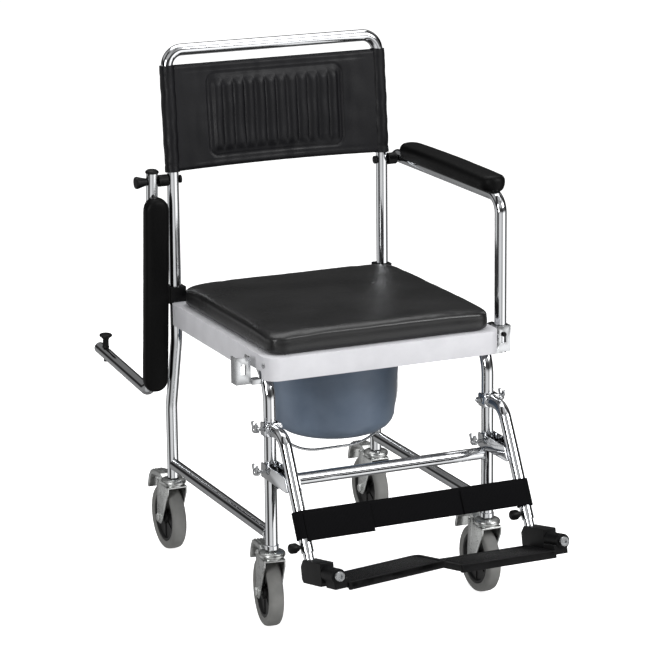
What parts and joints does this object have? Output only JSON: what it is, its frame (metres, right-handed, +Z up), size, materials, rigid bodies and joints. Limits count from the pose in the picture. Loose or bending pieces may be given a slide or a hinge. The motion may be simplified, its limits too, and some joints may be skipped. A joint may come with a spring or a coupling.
{
  "type": "wheeled commode chair",
  "caption": "Wheeled commode chair: chromed tube frame on braked castors, lift-off cushion over a seat and slide-out pan, sling back, drop-down arms and flip-up footplates.",
  "frame": {"origin": "centre of the bounding box in X and Y, on the floor", "axes": "+Z up, -Y is the way the sitter faces, +X is the sitter's left"},
  "size_m": [0.5702, 1.0512, 0.9728],
  "materials": {
    "chrome_tube": "polished chrome plate on steel tube",
    "zinc": "zinc plated pressed steel",
    "steel": "plated steel fasteners and wire",
    "white_plastic": "semi-gloss moulded plastic",
    "pan_plastic": "satin blue-grey plastic",
    "black_plastic": "satin black plastic",
    "cushion_vinyl": "black vinyl over foam",
    "sling_vinyl": "black vinyl sling",
    "arm_foam": "black moulded foam",
    "webbing": "black woven webbing",
    "tyre_rubber": "grey rubber",
    "hub_plastic": "black plastic wheel centre"
  },
  "bodies": {
    "root": {"rear_frame": "chrome_tube", "front_cross_tube": "chrome_tube", "front_seat_tube": "chrome_tube", "commode_seat": "white_plastic", "pan_carrier": "white_plastic", "backrest_sling": "sling_vinyl", "calf_strap": "webbing", "right_side_frame": "chrome_tube", "right_arm_catch": "chrome_tube", "right_seat_clamp": "black_plastic", "right_arm_pivot_knob": "black_plastic", "right_arm_spacer": "black_plastic", "right_hanger": "chrome_tube", "right_upper_wing_screw": "steel", "right_lower_wing_screw": "steel", "right_height_knob": "black_plastic", "left_side_frame": "chrome_tube", "left_arm_catch": "chrome_tube", "left_seat_clamp": "black_plastic", "left_arm_pivot_knob": "black_plastic", "left_arm_spacer": "black_plastic", "left_hanger": "chrome_tube", "left_upper_wing_screw": "steel", "left_lower_wing_screw": "steel", "left_height_knob": "black_plastic"},
    "cushion": {"seat_cushion": "cushion_vinyl"},
    "pan": {"pan": "pan_plastic"},
    "bail": {"pan_bail": "steel"},
    "right_arm": {"right_arm_tube": "chrome_tube", "right_arm_pad": "arm_foam", "right_arm_end_cap": "black_plastic"},
    "right_plunger": {"right_plunger": "black_plastic"},
    "right_footrest": {"right_footrest_slider": "chrome_tube", "right_pivot_block": "black_plastic", "right_hinge_pin": "steel"},
    "right_footplate": {"right_footplate": "black_plastic"},
    "right_front_castor_swivel": {"right_front_castor_fork": "zinc"},
    "right_front_castor_wheel": {"right_front_castor_tyre": "tyre_rubber", "right_front_castor_hub": "hub_plastic"},
    "right_front_castor_brake": {"right_front_castor_brake_lever": "zinc"},
    "right_rear_castor_swivel": {"right_rear_castor_fork": "zinc"},
    "right_rear_castor_wheel": {"right_rear_castor_tyre": "tyre_rubber", "right_rear_castor_hub": "hub_plastic"},
    "right_rear_castor_brake": {"right_rear_castor_brake_lever": "zinc"},
    "left_arm": {"left_arm_tube": "chrome_tube", "left_arm_pad": "arm_foam", "left_arm_end_cap": "black_plastic"},
    "left_plunger": {"left_plunger": "black_plastic"},
    "left_footrest": {"left_footrest_slider": "chrome_tube", "left_pivot_block": "black_plastic", "left_hinge_pin": "steel"},
    "left_footplate": {"left_footplate": "black_plastic"},
    "left_front_castor_swivel": {"left_front_castor_fork": "zinc"},
    "left_front_castor_wheel": {"left_front_castor_tyre": "tyre_rubber", "left_front_castor_hub": "hub_plastic"},
    "left_front_castor_brake": {"left_front_castor_brake_lever": "zinc"},
    "left_rear_castor_swivel": {"left_rear_castor_fork": "zinc"},
    "left_rear_castor_wheel": {"left_rear_castor_tyre": "tyre_rubber", "left_rear_castor_hub": "hub_plastic"},
    "left_rear_castor_brake": {"left_rear_castor_brake_lever": "zinc"}
  },
  "joints": [
    {"name": "cushion_lift", "type": "slide", "parent": "root", "child": "cushion", "axis": [0, 0, 1], "range_m": [0, 0.2]},
    {"name": "pan_slide", "type": "slide", "parent": "root", "child": "pan", "axis": [0, 1, 0], "range_m": [0, 0.42]},
    {"name": "bail_swing", "type": "hinge", "parent": "pan", "child": "bail", "pos_m": [0, -0.02559, 0.451], "axis": [1, 0, 0], "range_deg": [-40, 40]},
    {"name": "right_arm_drop", "type": "hinge", "parent": "root", "child": "right_arm", "pos_m": [-0.252, 0.21041, 0.727], "axis": [1, 0, 0], "range_deg": [-94.5, 0]},
    {"name": "right_plunger_pull", "type": "slide", "parent": "right_arm", "child": "right_plunger", "axis": [0, -0.0785, 0.9969], "range_m": [0, 0.01], "stiffness_N_per_m": 300, "springref_m": -0.004},
    {"name": "right_footrest_height", "type": "slide", "parent": "root", "child": "right_footrest", "axis": [0, -0.4772, -0.8788], "range_m": [0, 0.06]},
    {"name": "right_footplate_flip", "type": "hinge", "parent": "right_footrest", "child": "right_footplate", "pos_m": [-0.211, -0.45929, 0.17502], "axis": [0, -0.9781, 0.2079], "range_deg": [0, 84]},
    {"name": "right_front_castor_swivel_turn", "type": "hinge", "parent": "root", "child": "right_front_castor_swivel", "pos_m": [-0.211, -0.23059, 0.14], "axis": [0, 0, 1], "continuous": true},
    {"name": "right_front_castor_wheel_spin", "type": "hinge", "parent": "right_front_castor_swivel", "child": "right_front_castor_wheel", "pos_m": [-0.2071, -0.20287, 0.0625], "axis": [0.9903, -0.1392, 0], "continuous": true},
    {"name": "right_front_castor_brake_press", "type": "hinge", "parent": "right_front_castor_swivel", "child": "right_front_castor_brake", "pos_m": [-0.20683, -0.20089, 0.135], "axis": [0.9903, -0.1392, 0], "range_deg": [-12, 0]},
    {"name": "right_rear_castor_swivel_turn", "type": "hinge", "parent": "root", "child": "right_rear_castor_swivel", "pos_m": [-0.211, 0.24541, 0.14], "axis": [0, 0, 1], "continuous": true},
    {"name": "right_rear_castor_wheel_spin", "type": "hinge", "parent": "right_rear_castor_swivel", "child": "right_rear_castor_wheel", "pos_m": [-0.211, 0.27341, 0.0625], "axis": [1, 0, 0], "continuous": true},
    {"name": "right_rear_castor_brake_press", "type": "hinge", "parent": "right_rear_castor_swivel", "child": "right_rear_castor_brake", "pos_m": [-0.211, 0.27541, 0.135], "axis": [1, 0, 0], "range_deg": [-12, 0]},
    {"name": "left_arm_drop", "type": "hinge", "parent": "root", "child": "left_arm", "pos_m": [0.252, 0.21041, 0.727], "axis": [1, 0, 0], "range_deg": [0, 94.5]},
    {"name": "left_plunger_pull", "type": "slide", "parent": "left_arm", "child": "left_plunger", "axis": [0, 1, 0], "range_m": [0, 0.01], "stiffness_N_per_m": 300, "springref_m": -0.004},
    {"name": "left_footrest_height", "type": "slide", "parent": "root", "child": "left_footrest", "axis": [0, -0.4772, -0.8788], "range_m": [0, 0.06]},
    {"name": "left_footplate_flip", "type": "hinge", "parent": "left_footrest", "child": "left_footplate", "pos_m": [0.211, -0.45929, 0.17502], "axis": [0, 0.9781, -0.2079], "range_deg": [0, 88]},
    {"name": "left_front_castor_swivel_turn", "type": "hinge", "parent": "root", "child": "left_front_castor_swivel", "pos_m": [0.211, -0.23059, 0.14], "axis": [0, 0, 1], "continuous": true},
    {"name": "left_front_castor_wheel_spin", "type": "hinge", "parent": "left_front_castor_swivel", "child": "left_front_castor_wheel", "pos_m": [0.211, -0.20259, 0.0625], "axis": [1, 0, 0], "continuous": true},
    {"name": "left_front_castor_brake_press", "type": "hinge", "parent": "left_front_castor_swivel", "child": "left_front_castor_brake", "pos_m": [0.211, -0.20059, 0.135], "axis": [1, 0, 0], "range_deg": [-12, 0]},
    {"name": "left_rear_castor_swivel_turn", "type": "hinge", "parent": "root", "child": "left_rear_castor_swivel", "pos_m": [0.211, 0.24541, 0.14], "axis": [0, 0, 1], "continuous": true},
    {"name": "left_rear_castor_wheel_spin", "type": "hinge", "parent": "left_rear_castor_swivel", "child": "left_rear_castor_wheel", "pos_m": [0.211, 0.27341, 0.0625], "axis": [1, 0, 0], "continuous": true},
    {"name": "left_rear_castor_brake_press", "type": "hinge", "parent": "left_rear_castor_swivel", "child": "left_rear_castor_brake", "pos_m": [0.211, 0.27541, 0.135], "axis": [1, 0, 0], "range_deg": [-12, 0]}
  ]
}
